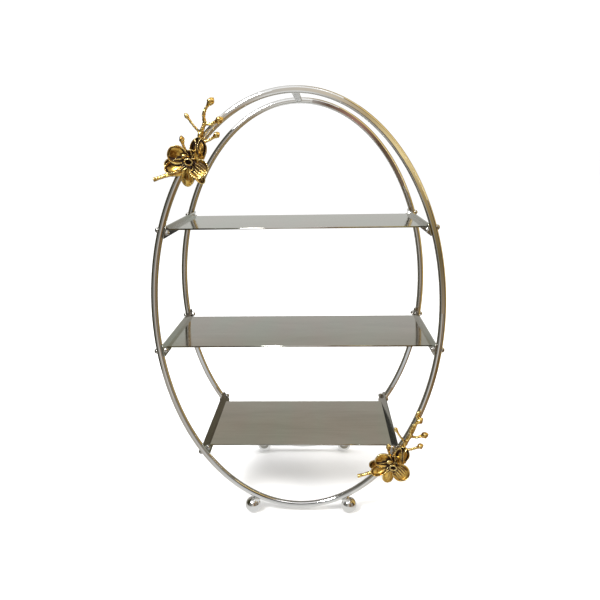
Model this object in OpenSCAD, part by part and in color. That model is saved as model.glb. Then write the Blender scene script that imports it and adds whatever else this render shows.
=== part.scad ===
// Three-tier oval cake stand: two chrome hoops, three polished shelves, two cast orchid sprays.
// The origin is the centre of the footprint, on the surface that the four ball feet stand on.

/* [Hoops] */
// Overall width of each oval hoop
hoop_w = 300; // [280:1:320]
// Overall height of each oval hoop
hoop_h = 443; // [420:1:470]
// Diameter of the round rod that the hoops are bent from
rod_d = 7; // [6:0.5:9]
// Distance between the centre planes of the two hoops
hoop_gap = 140; // [130:1:160]

/* [Shelves] */
// Height of the top shelf's upper face above the table
top_shelf_z = 314; // [300:1:325]
// Height of the middle shelf's upper face above the table
middle_shelf_z = 189; // [175:1:205]
// Height of the bottom shelf's upper face above the table
bottom_shelf_z = 75; // [70:1:90]
// Depth of each shelf, front edge to back edge
shelf_d = 116; // [100:1:124]
// Thickness of the shelf sheet
sheet_t = 1.5; // [1:0.1:2]
// Width of the end plates, measured along the hoop
plate_w = 13; // [11:0.5:16]
// Thickness of the end plates
plate_t = 1.2; // [1:0.1:2]

/* [Fasteners] */
// Diameter of every screw shank and stud
shank_d = 3; // [2.5:0.1:3.5]
// Diameter of the shelf screws' domed heads
head_d = 5.4; // [5:0.1:6]
// Width across the corners of the cap nuts
nut_d = 6; // [5.5:0.1:7]

/* [Feet] */
// Diameter of the ball feet
ball_d = 17; // [14:0.5:20]
// Distance of each foot's hole in the rod from the stand's centre line
foot_x = 47; // [40:1:55]
// Width of the small flat that each ball stands on
glide_d = 5; // [3:0.5:6]

/* [Sprays] */
// How far the upper flower's centre stands to the left of the centre line
upper_spray_x = 100; // [98:0.5:102]
// How far the lower flower's centre stands to the right of the centre line
lower_spray_x = 98; // [96:0.5:100]
// Height of the upper flower's centre above the table
upper_spray_z = 381; // [378:0.5:384]
// Height of the lower flower's centre above the table
lower_spray_z = 64; // [62:0.5:66]
// Clockwise turn of the lower spray against the upper one, in degrees
lower_turn = 3.5; // [0:0.5:12]
// How far the tip of the flower's column stands in front of the hoop
column_reach = 16; // [14:0.5:18]

/* [Hidden] */
$fn = 48;
eps = 0.01;

rod_r = rod_d / 2;
ball_r = ball_d / 2;
shank_r = shank_d / 2;
// Semi-axes of the rod's centre line
oval_a = hoop_w / 2 - rod_r;
oval_b = hoop_h / 2 - rod_r;

// Feet: each one stands on the hoop's normal, with a short collar between rod and ball
collar_h = 1.6;
collar_r = 4.5;
foot_nx = foot_x / pow(oval_a, 2);
foot_drop = oval_b * sqrt(1 - pow(foot_x / oval_a, 2));
foot_nz = foot_drop / pow(oval_b, 2);
foot_lean = atan2(foot_nx, foot_nz);
// The ball runs a little way into its collar, and the collar into the rod
ball_sink = 0.4;
collar_sink = 1.2;
// How far the collar's end stands inside the ball
collar_lap = 1.3;
foot_reach = rod_r + collar_h + ball_r - ball_sink;
glide_h = sqrt(pow(ball_r, 2) - pow(glide_d / 2, 2));
// Height of the hoops' centre, so that the feet stand on the table
oval_z = foot_drop + foot_reach * cos(foot_lean) + glide_h;

// The stand's depth runs from the columns of the flowers to the backs of the rear balls
mid_y = (rod_r + column_reach - ball_r) / 2;
front_y = mid_y - hoop_gap / 2;
back_y = mid_y + hoop_gap / 2;

// A head sits in a flat seat, cut just deep enough for its whole rim to rest
seat_h = rod_r - sqrt(pow(rod_r, 2) - pow(head_d / 2, 2));
head_side_h = 2.4;
head_h = 3.9;
nut_hex_h = 2.2;
nut_h = 4;
// Metal left at the end of a cap nut's dome, past its hole
nut_end = 1.2;
// The feet's studs start this far above the rod's inner side, and go this far into the balls
stud_start = 2;
stud_depth = 5;

// The plates touch the hoops' inner sides at their two long edges, because the hoops curve
plate_sag = 0.12;
plate_face = rod_r + plate_sag;

// The rod's distance from the centre line, at a height above the table
function rod_x(z) = oval_a * sqrt(1 - pow((z - oval_z) / oval_b, 2));

// ---- the oval rod: rings of points round an ellipse ----

// Rings round the oval, and sides to the rod
oval_rings = 96;
rod_sides = 16;

function oval_normal(t) =
    let (k = norm([oval_b * cos(t), oval_a * sin(t)]))
    [oval_b * cos(t) / k, oval_a * sin(t) / k];

function oval_point(i, j) =
    let (
        t = 360 * i / oval_rings,
        around = 360 * j / rod_sides,
        out = rod_r * cos(around)
    )
    [
        oval_a * cos(t) + out * oval_normal(t)[0],
        rod_r * sin(around),
        oval_b * sin(t) + out * oval_normal(t)[1]
    ];

module oval_rod() {
    points = [
        for (i = [0 : oval_rings - 1], j = [0 : rod_sides - 1])
            oval_point(i, j)
    ];
    faces = [
        for (i = [0 : oval_rings - 1], j = [0 : rod_sides - 1])
            let (
                here = i * rod_sides,
                next = ((i + 1) % oval_rings) * rod_sides,
                k = (j + 1) % rod_sides
            )
            each [
                [here + j, here + k, next + k],
                [here + j, next + k, next + j]
            ]
    ];
    polyhedron(points = points, faces = faces);
}

// ---- frames on the hoops ----

// Lean of the hoop's outward normal above the horizontal, at a height above the table
function lean_at(z) =
    atan2((z - oval_z) / pow(oval_b, 2), rod_x(z) / pow(oval_a, 2));

// Children's +Z points outward along the hoop's normal, with the rod's centre at their origin.
// side is 1 on the right and -1 on the left.
module on_hoop(side, z, y) {
    mirror([side < 0 ? 1 : 0, 0, 0])
        translate([rod_x(z), y, z])
            rotate([0, 90 - lean_at(z), 0])
                children();
}

// The same at a foot: children's +Z points outward and down
module at_foot(side, y) {
    mirror([side < 0 ? 1 : 0, 0, 0])
        translate([foot_x, y, oval_z - foot_drop])
            rotate([0, 180 - foot_lean, 0])
                children();
}

// Children's XY plane is upright and faces the front, with its origin on the front of the hoop
module at_spray(x, z, turn) {
    translate([x, front_y - rod_r, z])
        rotate([90, 0, 0])
            rotate([0, 0, -turn])
                children();
}

// The stud and nut of a spray stand where the rod is, behind the flower
module behind_spray(side, z) {
    translate([side * rod_x(z), front_y, z])
        rotate([90, 0, 0])
            children();
}

// ---- hoops and strap ----

module shelf_holes(z, y) {
    for (side = [-1, 1])
        on_hoop(side, z - sheet_t / 2, y) {
            cylinder(h = rod_d + 2, r = shank_r, center = true);
            translate([0, 0, rod_r - seat_h])
                cylinder(h = seat_h + 1, r = head_d / 2);
        }
}

module foot_holes(y) {
    for (side = [-1, 1])
        at_foot(side, y) {
            translate([0, 0, -rod_r + stud_start])
                cylinder(h = rod_d, r = shank_r);
            translate([0, 0, rod_r - collar_sink])
                cylinder(h = 2 * collar_sink, r = collar_r);
        }
}

module hoop(y) {
    difference() {
        translate([0, y, oval_z])
            oval_rod();
        for (z = [top_shelf_z, middle_shelf_z, bottom_shelf_z])
            shelf_holes(z, y);
        foot_holes(y);
    }
}

module front_hoop() {
    color("silver")
        difference() {
            hoop(front_y);
            behind_spray(-1, upper_spray_z)
                cylinder(h = rod_d + 2, r = shank_r, center = true);
            behind_spray(1, lower_spray_z)
                cylinder(h = rod_d + 2, r = shank_r, center = true);
        }
}

module back_hoop() {
    color("silver")
        hoop(back_y);
}

// A flat bar between the hoops, with ends shaped to the rods that it is soldered to
module top_strap() {
    strap_w = 7;
    strap_t = 3;
    color("silver")
        difference() {
            translate([-strap_w / 2, front_y, oval_z + oval_b - strap_t / 2])
                cube([strap_w, hoop_gap, strap_t]);
            for (y = [front_y, back_y])
                translate([0, y, oval_z + oval_b])
                    rotate([0, 90, 0])
                        cylinder(h = strap_w + 2, r = rod_r, center = true);
        }
}

// ---- shelves and their end plates ----

// Distance from the centre line to an end plate's inner face, at a height
function plate_inner_x(shelf_z, z) =
    let (zc = shelf_z - sheet_t / 2, lean = lean_at(zc))
    rod_x(zc) - (plate_face + plate_t + (z - zc) * sin(lean)) / cos(lean);

module shelf(z) {
    low = z - sheet_t;
    color("gainsboro")
        translate([0, mid_y + shelf_d / 2, 0])
            rotate([90, 0, 0])
                linear_extrude(height = shelf_d)
                    polygon([
                        [-plate_inner_x(z, z), z],
                        [-plate_inner_x(z, low), low],
                        [plate_inner_x(z, low), low],
                        [plate_inner_x(z, z), z]
                    ]);
}

module end_plate(side, z) {
    plate_l = hoop_gap + rod_d;
    color("gainsboro")
        difference() {
            on_hoop(side, z - sheet_t / 2, mid_y)
                translate([-plate_w / 2, -plate_l / 2, -plate_face - plate_t])
                    cube([plate_w, plate_l, plate_t]);
            for (y = [front_y, back_y])
                on_hoop(side, z - sheet_t / 2, y)
                    cylinder(h = 2 * rod_d, r = shank_r, center = true);
        }
}

module shelf_screw() {
    shank_end = -plate_face - plate_t - nut_h + nut_end;
    translate([0, 0, rod_r - seat_h])
        rotate_extrude()
            polygon([
                [0, 0],
                [head_d / 2, 0],
                [head_d / 2, head_side_h],
                [head_d / 2 - 0.4, head_h - 0.8],
                [head_d / 2 - 1.2, head_h - 0.2],
                [0, head_h]
            ]);
    translate([0, 0, shank_end])
        cylinder(h = rod_r - seat_h - shank_end + eps, r = shank_r);
}

// A cap nut whose open face is at z = 0 and whose dome points to -Z
module cap_nut() {
    dome_share = 0.84;
    dome_r = dome_share * nut_d / 2;
    difference() {
        union() {
            translate([0, 0, -nut_hex_h])
                cylinder(h = nut_hex_h, r = nut_d / 2, $fn = 6);
            translate([0, 0, dome_r - nut_h])
                sphere(r = dome_r);
        }
        translate([0, 0, -nut_h + nut_end])
            cylinder(h = nut_h, r = shank_r);
        cylinder(h = nut_d, r = nut_d);
    }
}

module shelf_screws(z) {
    color("silver")
        for (side = [-1, 1], y = [front_y, back_y])
            on_hoop(side, z - sheet_t / 2, y)
                shelf_screw();
}

module shelf_nuts(z) {
    color("silver")
        for (side = [-1, 1], y = [front_y, back_y])
            on_hoop(side, z - sheet_t / 2, y)
                translate([0, 0, -plate_face - plate_t])
                    cap_nut();
}

module top_shelf() {
    shelf(top_shelf_z);
}

module top_left_plate() {
    end_plate(-1, top_shelf_z);
}

module top_right_plate() {
    end_plate(1, top_shelf_z);
}

module top_shelf_screws() {
    shelf_screws(top_shelf_z);
}

module top_shelf_nuts() {
    shelf_nuts(top_shelf_z);
}

module middle_shelf() {
    shelf(middle_shelf_z);
}

module middle_left_plate() {
    end_plate(-1, middle_shelf_z);
}

module middle_right_plate() {
    end_plate(1, middle_shelf_z);
}

module middle_shelf_screws() {
    shelf_screws(middle_shelf_z);
}

module middle_shelf_nuts() {
    shelf_nuts(middle_shelf_z);
}

module bottom_shelf() {
    shelf(bottom_shelf_z);
}

module bottom_left_plate() {
    end_plate(-1, bottom_shelf_z);
}

module bottom_right_plate() {
    end_plate(1, bottom_shelf_z);
}

module bottom_shelf_screws() {
    shelf_screws(bottom_shelf_z);
}

module bottom_shelf_nuts() {
    shelf_nuts(bottom_shelf_z);
}

// ---- feet ----

module foot(side, y) {
    color("silver")
        difference() {
            at_foot(side, y)
                difference() {
                    union() {
                        translate([0, 0, rod_r - collar_sink])
                            cylinder(h = collar_sink + collar_h + collar_lap, r = collar_r);
                        translate([0, 0, foot_reach])
                            sphere(r = ball_r);
                    }
                    cylinder(h = foot_reach - ball_r + stud_depth, r = shank_r);
                }
            // The flat under the ball
            translate([-hoop_w / 2, -hoop_w / 2, -ball_d])
                cube([hoop_w, hoop_w, ball_d]);
        }
}

module foot_front_left() {
    foot(-1, front_y);
}

module foot_front_right() {
    foot(1, front_y);
}

module foot_rear_left() {
    foot(-1, back_y);
}

module foot_rear_right() {
    foot(1, back_y);
}

module foot_studs() {
    color("gray")
        for (side = [-1, 1], y = [front_y, back_y])
            at_foot(side, y)
                translate([0, 0, -rod_r + stud_start])
                    cylinder(h = foot_reach - ball_r + stud_depth + rod_r - stud_start, r = shank_r);
}

// ---- orchid sprays: X to the right, Y up, Z towards the front ----

cast_fn = 10;
petal_t = 1.3;
// Height of the petals' roots in front of the hoop
petal_z = 6.5;
// Rows along a petal and columns across it
petal_rows = 9;
petal_cols = 6;

// A closed leaf of metal. It starts at the origin and runs along +X.
// cup lifts its long edges, curl lifts its end.
function petal_point(l, w, cup, curl, i, j, drop) =
    let (
        turn = 14 + 152 * i / petal_rows,
        s = (1 - cos(turn)) / 2,
        t = 2 * j / petal_cols - 1,
        half = w / 2 * sin(turn) * (0.72 + 0.28 * s)
    )
    [l * s, half * t, cup * t * t * sin(turn) + curl * s * s - drop];

module petal(l, w, cup, curl) {
    cols = petal_cols + 1;
    count = (petal_rows + 1) * cols;
    points = [
        for (drop = [0, petal_t], i = [0 : petal_rows], j = [0 : petal_cols])
            petal_point(l, w, cup, curl, i, j, drop)
    ];
    skin = [
        for (i = [0 : petal_rows - 1], j = [0 : petal_cols - 1])
            let (a = i * cols + j, b = a + 1, c = b + cols, d = a + cols)
            each [
                [a, b, c],
                [a, c, d],
                [a + count, c + count, b + count],
                [a + count, d + count, c + count]
            ]
    ];
    long_edges = [
        for (i = [0 : petal_rows - 1])
            let (a = i * cols, d = a + cols, b = a + petal_cols, c = b + cols)
            each [
                [a, d, d + count],
                [a, d + count, a + count],
                [b, c + count, c],
                [b, b + count, c + count]
            ]
    ];
    short_edges = [
        for (j = [0 : petal_cols - 1])
            let (a = j, b = j + 1, d = petal_rows * cols + j, c = d + 1)
            each [
                [a, a + count, b + count],
                [a, b + count, b],
                [d, c + count, d + count],
                [d, c, c + count]
            ]
    ];
    polyhedron(points = points, faces = concat(skin, long_edges, short_edges));
}

// The midrib behind a petal: its depth, and its radii at the root, the middle and the tip
rib_depth = 0.7;
rib_r = [1.3, 0.9, 0.6];
// Where those three points stand along the petal
rib_at = [0.05, 0.5, 0.9];

// A petal with its midrib, pointing in a direction of the XY plane and lifted towards the front
module ribbed_petal(direction, lift, roll, l, w, cup, curl) {
    rotate([0, 0, direction])
        rotate([0, -lift, 0])
            rotate([roll, 0, 0]) {
                petal(l, w, cup, curl);
                for (k = [0, 1])
                    hull()
                        for (m = [k, k + 1])
                            translate([l * rib_at[m], 0, curl * pow(rib_at[m], 2) - rib_depth])
                                sphere(r = rib_r[m], $fn = cast_fn);
            }
}

// A tapering twig through points, from radius r0 to radius r1
module twig(points, r0, r1) {
    last = len(points) - 1;
    for (i = [0 : last - 1])
        hull() {
            translate(points[i])
                sphere(r = r0 + (r1 - r0) * i / last, $fn = cast_fn);
            translate(points[i + 1])
                sphere(r = r0 + (r1 - r0) * (i + 1) / last, $fn = cast_fn);
        }
}

module bud(from, to, r) {
    hull() {
        translate(from)
            sphere(r = r * 0.5, $fn = cast_fn);
        translate(from * 0.45 + to * 0.55)
            sphere(r = r, $fn = cast_fn);
        translate(to)
            sphere(r = r * 0.35, $fn = cast_fn);
    }
}

// Height of the collar on the stud, which the casting's pad rests on
pad_z = 2;
// The pad's disc, the rounded top that joins it to the stem, and how far it laps over the stud's collar
pad_r = 4;
pad_h = 2.5;
pad_top_z = 3.5;
pad_top_r = 2.6;
pad_lap = 0.4;
pad_fn = 24;

// pad_x is how far the stud stands to the right of the flower's centre
module spray_branch(pad_x) {
    fork = [17, 34, 7];
    stem = [[-35, -17, 6], [-28, -15, 5.5], [-20, -12.5, 5], [-10, -12, 4.5], [0, -3, 4.5],
            [7, 10, 4.5], [11, 21, 5.5], [14, 28, 6.2], fork];
    twig(stem, 1.7, 1.5);
    twig([fork, [16.5, 41, 8], [20, 48, 9]], 1.4, 1.1);
    bud([20, 48, 9], [26.3, 55.5, 10.5], 2.5);
    twig([fork, [21, 33, 7.8], [26, 34.5, 8.5]], 1.3, 1.1);
    bud([26, 34.5, 8.5], [35, 37.8, 9], 2.6);
    twig([[12, 23.5, 5.8], [6, 32, 7.5], [2.5, 37.5, 8]], 1.1, 0.9);
    bud([2.5, 37.5, 8], [-0.5, 43, 8.5], 1.7);
    twig([[10, 17, 5], [18, 17.5, 6.5], [24, 20.5, 7.5]], 1.4, 1.1);
    bud([24, 20.5, 7.5], [30.5, 25.5, 8.5], 2.3);
    twig([[2.5, 4, 4.5], [-3.5, 11, 6], [-5, 15.5, 7]], 1.2, 1);
    bud([-5, 15.5, 7], [-6, 23, 7.5], 2);
    // The pad that the stud's collar holds
    hull() {
        translate([pad_x, 0, pad_z])
            cylinder(h = pad_h, r = pad_r, $fn = pad_fn);
        translate([pad_x, 0, pad_z + pad_top_z])
            sphere(r = pad_top_r, $fn = cast_fn);
    }
}

// The flower's column: radii of its foot, its mouth and the two ends of its bore
column_r = 3;
column_mouth_r = 4.3;
column_bore_r = 1.2;
column_bore_mouth_r = 4.6;
// The column starts behind the petals' roots, and its bore in front of them
column_sink = 0.5;
column_bore_z = 3;
column_fn = 20;

// The twiglet that only the lower spray has, which runs beside the hoop to a small bud
module spray_twiglet() {
    twig([[15, 30, 6.5], [21, 40, 3.8], [22.5, 50, 2.8]], 1.2, 0.9);
    bud([22.5, 50, 2.8], [23, 60.5, 3.4], 2.2);
}

module spray_flower() {
    translate([0, 0, petal_z]) {
        ribbed_petal(150, 16, 0, 21, 17, 2.6, 1.5);
        ribbed_petal(202, 4, 10, 24, 15, 5, 1);
        ribbed_petal(266, 2, -6, 25.5, 12, -2.6, -1.5);
        ribbed_petal(322, 10, -8, 21.5, 16, 4, 1.5);
        ribbed_petal(300, -8, 0, 23, 9, 1, -0.5);
        ribbed_petal(80, 4, 0, 10, 9, 2, 2);
        // The lip's two side lobes
        hull() {
            translate([-5, 3.6, 2.5])
                sphere(r = 1.7, $fn = cast_fn);
            translate([-1, 2.4, 2])
                sphere(r = 1.5, $fn = cast_fn);
        }
    }
    // The column: a short tube that flares to the front
    difference() {
        translate([0, 0, petal_z - column_sink])
            cylinder(
                h = column_reach - petal_z + column_sink,
                r1 = column_r,
                r2 = column_mouth_r,
                $fn = column_fn
            );
        translate([0, 0, petal_z + column_bore_z])
            cylinder(
                h = column_reach,
                r1 = column_bore_r,
                r2 = column_bore_mouth_r,
                $fn = column_fn
            );
    }
}

module spray_bloom() {
    translate([8, 10, 7.5])
        rotate([0, 0, 84])
            translate([-9, 0, 0]) {
                ribbed_petal(0, -4, 0, 20, 14, -5.5, 0);
                ribbed_petal(0, -2, 62, 19, 10, -3, -1);
                ribbed_petal(0, -2, -62, 19, 10, -3, -1);
                hull() {
                    translate([3, 0, -2])
                        sphere(r = 2.6, $fn = cast_fn);
                    translate([11, 0, -2.4])
                        sphere(r = 4.2, $fn = cast_fn);
                    translate([19, 0, -2])
                        sphere(r = 1.6, $fn = cast_fn);
                }
                twig([[1, 0, -2], [-3, 0, -2.6]], 2, 2);
            }
}

module spray_stud() {
    color("silver") {
        translate([0, 0, rod_r])
            cylinder(h = pad_z, r = pad_r - pad_lap);
        translate([0, 0, -rod_r - nut_h + nut_end])
            cylinder(h = rod_d + nut_h - nut_end + eps, r = shank_r);
    }
}

module spray_nut() {
    color("silver")
        translate([0, 0, -rod_r])
            cap_nut();
}

module upper_spray_branch() {
    color("goldenrod")
        at_spray(-upper_spray_x, upper_spray_z, 0)
            spray_branch(upper_spray_x - rod_x(upper_spray_z));
}

module upper_spray_flower() {
    color("gold")
        at_spray(-upper_spray_x, upper_spray_z, 0)
            spray_flower();
}

module upper_spray_bloom() {
    color("gold")
        at_spray(-upper_spray_x, upper_spray_z, 0)
            spray_bloom();
}

module upper_spray_stud() {
    behind_spray(-1, upper_spray_z)
        spray_stud();
}

module upper_spray_nut() {
    behind_spray(-1, upper_spray_z)
        spray_nut();
}

module lower_spray_branch() {
    color("goldenrod")
        at_spray(lower_spray_x, lower_spray_z, lower_turn) {
            spray_branch(rod_x(lower_spray_z) - lower_spray_x);
            spray_twiglet();
        }
}

module lower_spray_flower() {
    color("gold")
        at_spray(lower_spray_x, lower_spray_z, lower_turn)
            spray_flower();
}

module lower_spray_bloom() {
    color("gold")
        at_spray(lower_spray_x, lower_spray_z, lower_turn)
            spray_bloom();
}

module lower_spray_stud() {
    behind_spray(1, lower_spray_z)
        spray_stud();
}

module lower_spray_nut() {
    behind_spray(1, lower_spray_z)
        spray_nut();
}

front_hoop();
back_hoop();
top_strap();
top_shelf();
top_left_plate();
top_right_plate();
top_shelf_screws();
top_shelf_nuts();
middle_shelf();
middle_left_plate();
middle_right_plate();
middle_shelf_screws();
middle_shelf_nuts();
bottom_shelf();
bottom_left_plate();
bottom_right_plate();
bottom_shelf_screws();
bottom_shelf_nuts();
foot_front_left();
foot_front_right();
foot_rear_left();
foot_rear_right();
foot_studs();
upper_spray_branch();
upper_spray_flower();
upper_spray_bloom();
upper_spray_stud();
upper_spray_nut();
lower_spray_branch();
lower_spray_flower();
lower_spray_bloom();
lower_spray_stud();
lower_spray_nut();
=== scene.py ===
"""Looks for the three-tier cake stand: chrome rods, polished sheets, fixings and cast orchid sprays."""

import bmesh
import bpy
import math
import numpy as np
import random
from mathutils import Matrix, Vector, noise
from mathutils.bvhtree import BVHTree
from types import SimpleNamespace


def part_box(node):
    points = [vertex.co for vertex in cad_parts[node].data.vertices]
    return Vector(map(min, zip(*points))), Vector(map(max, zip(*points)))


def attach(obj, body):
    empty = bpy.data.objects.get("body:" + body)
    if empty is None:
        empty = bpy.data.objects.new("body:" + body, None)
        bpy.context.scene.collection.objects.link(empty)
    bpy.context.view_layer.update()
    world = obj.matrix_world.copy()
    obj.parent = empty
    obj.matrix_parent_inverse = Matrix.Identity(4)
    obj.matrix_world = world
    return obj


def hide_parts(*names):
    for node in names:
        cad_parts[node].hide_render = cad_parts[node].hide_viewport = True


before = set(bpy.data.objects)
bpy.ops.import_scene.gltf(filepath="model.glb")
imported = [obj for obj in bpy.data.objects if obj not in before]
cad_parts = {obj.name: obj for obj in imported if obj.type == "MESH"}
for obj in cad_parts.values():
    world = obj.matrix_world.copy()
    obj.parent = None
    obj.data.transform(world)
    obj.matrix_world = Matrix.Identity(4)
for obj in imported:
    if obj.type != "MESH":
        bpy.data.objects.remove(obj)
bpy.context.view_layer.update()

MM = 0.001
BODY = "root"
SIDES = {"left": -1, "right": 1}
LEVELS = ("top", "middle", "bottom")


# ---------------------------------------------------------------- the frame's own sizes

class Hoop:
    """One oval hoop, as its CAD node gives it: rod radius, centre and the rod's centre-line semi-axes."""

    def __init__(self, node):
        low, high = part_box(node)
        self.rod = (high.y - low.y) / 2
        self.y = (high.y + low.y) / 2
        self.z = (high.z + low.z) / 2
        self.a = (high.x - low.x) / 2 - self.rod
        self.b = (high.z - low.z) / 2 - self.rod

    def point(self, t):
        return Vector((self.a * math.cos(t), self.y, self.z + self.b * math.sin(t)))

    def normal(self, t):
        return Vector((math.cos(t) / self.a, 0, math.sin(t) / self.b)).normalized()

    def angle_at(self, side, z):
        """The ellipse angle where the rod's centre line passes a height, on the left or the right."""
        rise = math.asin((z - self.z) / self.b)
        return rise if side > 0 else math.pi - rise


front = Hoop("front_hoop")
back = Hoop("back_hoop")
hoops = {"front": front, "rear": back}
mid_y = (front.y + back.y) / 2


# ---------------------------------------------------------------- mesh helpers

def make_object(name, bm, smooth=True):
    mesh = bpy.data.meshes.new(name)
    bmesh.ops.recalc_face_normals(bm, faces=bm.faces)
    bm.to_mesh(mesh)
    bm.free()
    if smooth:
        mesh.polygons.foreach_set("use_smooth", [True] * len(mesh.polygons))
    piece = bpy.data.objects.new(name, mesh)
    bpy.context.scene.collection.objects.link(piece)
    return piece


def finish_piece(piece, material, slot, *nodes):
    piece.data.materials.clear()
    piece.data.materials.append(material)
    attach(piece, BODY)
    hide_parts(*nodes)
    return piece


def add_rings(bm, rings, closed=False):
    """Joins rings of points into a skin. closed joins the last ring to the first, or else both are capped."""
    rows = [[bm.verts.new(p) for p in ring] for ring in rings]
    count = len(rows[0])
    pairs = list(zip(rows, rows[1:]))
    if closed:
        pairs.append((rows[-1], rows[0]))
    for here, there in pairs:
        for k in range(count):
            n = (k + 1) % count
            bm.faces.new((here[k], here[n], there[n], there[k]))
    if not closed:
        bm.faces.new(rows[0])
        bm.faces.new(rows[-1])


def frame_to(direction, origin):
    """A matrix whose +Z runs along direction, with its YZ plane holding the world's Y."""
    z = direction.normalized()
    x = Vector((0, 1, 0)).cross(z).normalized()
    y = z.cross(x)
    return Matrix.Translation(origin) @ Matrix((x, y, z)).transposed().to_4x4()


def add_lathe(bm, profile, place, steps=48, radius_at=None):
    """Turns (radius, height) points about +Z. radius_at may change a radius by its angle, as on a nut."""
    rings = []
    for radius, height in profile:
        ring = []
        for k in range(steps):
            turn = 2 * math.pi * k / steps
            r = radius_at(turn, radius, height) if radius_at else radius
            ring.append(place @ Vector((r * math.cos(turn), r * math.sin(turn), height)))
        rings.append(ring)
    add_rings(bm, rings)


def arc_points(centre_h, radius, start, end, count):
    """Profile points along an arc about a centre on the axis. Angles are in degrees from the horizontal."""
    out = []
    for k in range(count + 1):
        t = math.radians(start + (end - start) * k / count)
        out.append((radius * math.cos(t), centre_h + radius * math.sin(t)))
    return out


def soften_edges(bm, width, segments=3):
    """Bevels every edge that turns by more than 30 degrees."""
    sharp = [e for e in bm.edges if len(e.link_faces) == 2 and e.calc_face_angle(0) > math.radians(30)]
    bmesh.ops.bevel(bm, geom=sharp, offset=width, segments=segments, affect="EDGES", profile=0.5)


# Faces larger than this share of the largest one are flat
FLAT_SHARE = 0.02


def flat_big_faces(piece):
    """Large flat faces shade flat, so that they mirror cleanly, and the narrow bevels stay smooth."""
    areas = [p.area for p in piece.data.polygons]
    limit = FLAT_SHARE * max(areas)
    for polygon, area in zip(piece.data.polygons, areas):
        polygon.use_smooth = area < limit


# ---------------------------------------------------------------- materials

class Nodes:
    """A short way to build a node material."""

    def __init__(self, name):
        self.material = bpy.data.materials.new(name)
        self.material.use_nodes = True
        self.tree = self.material.node_tree
        self.shader = self.tree.nodes["Principled BSDF"]
        self.place = self.add("ShaderNodeTexCoord").outputs["Object"]

    def add(self, kind, **settings):
        made = self.tree.nodes.new(kind)
        for key, value in settings.items():
            setattr(made, key, value)
        return made

    def link(self, a, b):
        self.tree.links.new(a, b)

    def noise(self, scale, detail=4, rough=0.5, stretch=(1, 1, 1), warp=0.0):
        mapping = self.add("ShaderNodeMapping")
        mapping.inputs["Scale"].default_value = stretch
        self.link(self.place, mapping.inputs["Vector"])
        texture = self.add("ShaderNodeTexNoise")
        texture.inputs["Scale"].default_value = scale
        texture.inputs["Detail"].default_value = detail
        texture.inputs["Roughness"].default_value = rough
        texture.inputs["Distortion"].default_value = warp
        self.link(mapping.outputs["Vector"], texture.inputs["Vector"])
        return texture.outputs["Fac"]

    def ramp(self, source, *stops):
        """stops are (position, value) or (position, colour)."""
        made = self.add("ShaderNodeValToRGB")
        elements = made.color_ramp.elements
        while len(elements) < len(stops):
            elements.new(0.5)
        for element, (position, value) in zip(elements, stops):
            element.position = position
            colour = value if isinstance(value, tuple) else (value, value, value)
            element.color = (*colour, 1)
        self.link(source, made.inputs["Fac"])
        return made.outputs["Color"]

    def mix(self, factor, a, b, blend="MIX"):
        made = self.add("ShaderNodeMix", data_type="RGBA", blend_type=blend)
        if isinstance(factor, float):
            made.inputs[0].default_value = factor
        else:
            self.link(factor, made.inputs[0])
        for value, socket in ((a, made.inputs[6]), (b, made.inputs[7])):
            if isinstance(value, tuple):
                socket.default_value = (*value, 1)
            else:
                self.link(value, socket)
        return made.outputs[2]

    def bump(self, *layers):
        """layers are (height source, distance in metres), put on top of one another."""
        normal = None
        for source, distance in layers:
            made = self.add("ShaderNodeBump")
            made.inputs["Strength"].default_value = 1
            made.inputs["Distance"].default_value = distance
            self.link(source, made.inputs["Height"])
            if normal:
                self.link(normal, made.inputs["Normal"])
            normal = made.outputs["Normal"]
        self.feed("Normal", normal)

    def feed(self, socket, source):
        self.link(source, self.shader.inputs[socket])

    def set(self, **values):
        for socket, value in values.items():
            self.shader.inputs[socket].default_value = value


def dimmed(colour, share):
    return tuple(share * c for c in colour)


def chrome(name, tint=(0.83, 0.83, 0.82), rough=(0.035, 0.10)):
    """Bright plate: faint clouding, fine polishing marks and a little orange peel."""
    m = Nodes(name)
    cloud = m.noise(38, 5, 0.6)
    grain = m.noise(900, 3, 0.6)
    m.feed("Base Color", m.ramp(cloud, (0.3, dimmed(tint, 0.93)), (0.7, tint)))
    m.feed("Roughness", m.ramp(m.mix(0.35, cloud, grain), (0.3, rough[0]), (0.75, rough[1])))
    m.bump((m.noise(120, 2, 0.5), 0.000015), (grain, 0.0000012))
    m.set(Metallic=1.0)
    return m.material


def polished_sheet(name, tint=(0.57, 0.56, 0.54)):
    """Mirror-polished steel sheet: a faint lengthwise grain, slight waves, wipe marks and tinted patches."""
    m = Nodes(name)
    grain = m.noise(260, 4, 0.65, stretch=(0.06, 6, 1))
    wipe = m.noise(14, 4, 0.55, stretch=(0.6, 1.6, 1), warp=0.6)
    wave = m.noise(7, 2, 0.4, stretch=(0.7, 1.2, 1))
    tone = m.ramp(m.mix(0.5, grain, wipe), (0.35, dimmed(tint, 0.82)), (0.65, tint))
    cast = m.noise(22, 2, 0.4, stretch=(1.4, 0.35, 1))
    patches = m.ramp(cast, (0.35, (1.0, 0.955, 0.925)), (0.65, (0.95, 1.0, 0.945)))
    m.feed("Base Color", m.mix(1.0, tone, patches, "MULTIPLY"))
    m.feed("Roughness", m.ramp(m.mix(0.4, grain, wipe), (0.3, 0.055), (0.7, 0.14)))
    m.bump((wave, 0.0007), (grain, 0.0000025))
    m.set(Metallic=1.0)
    return m.material


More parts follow.
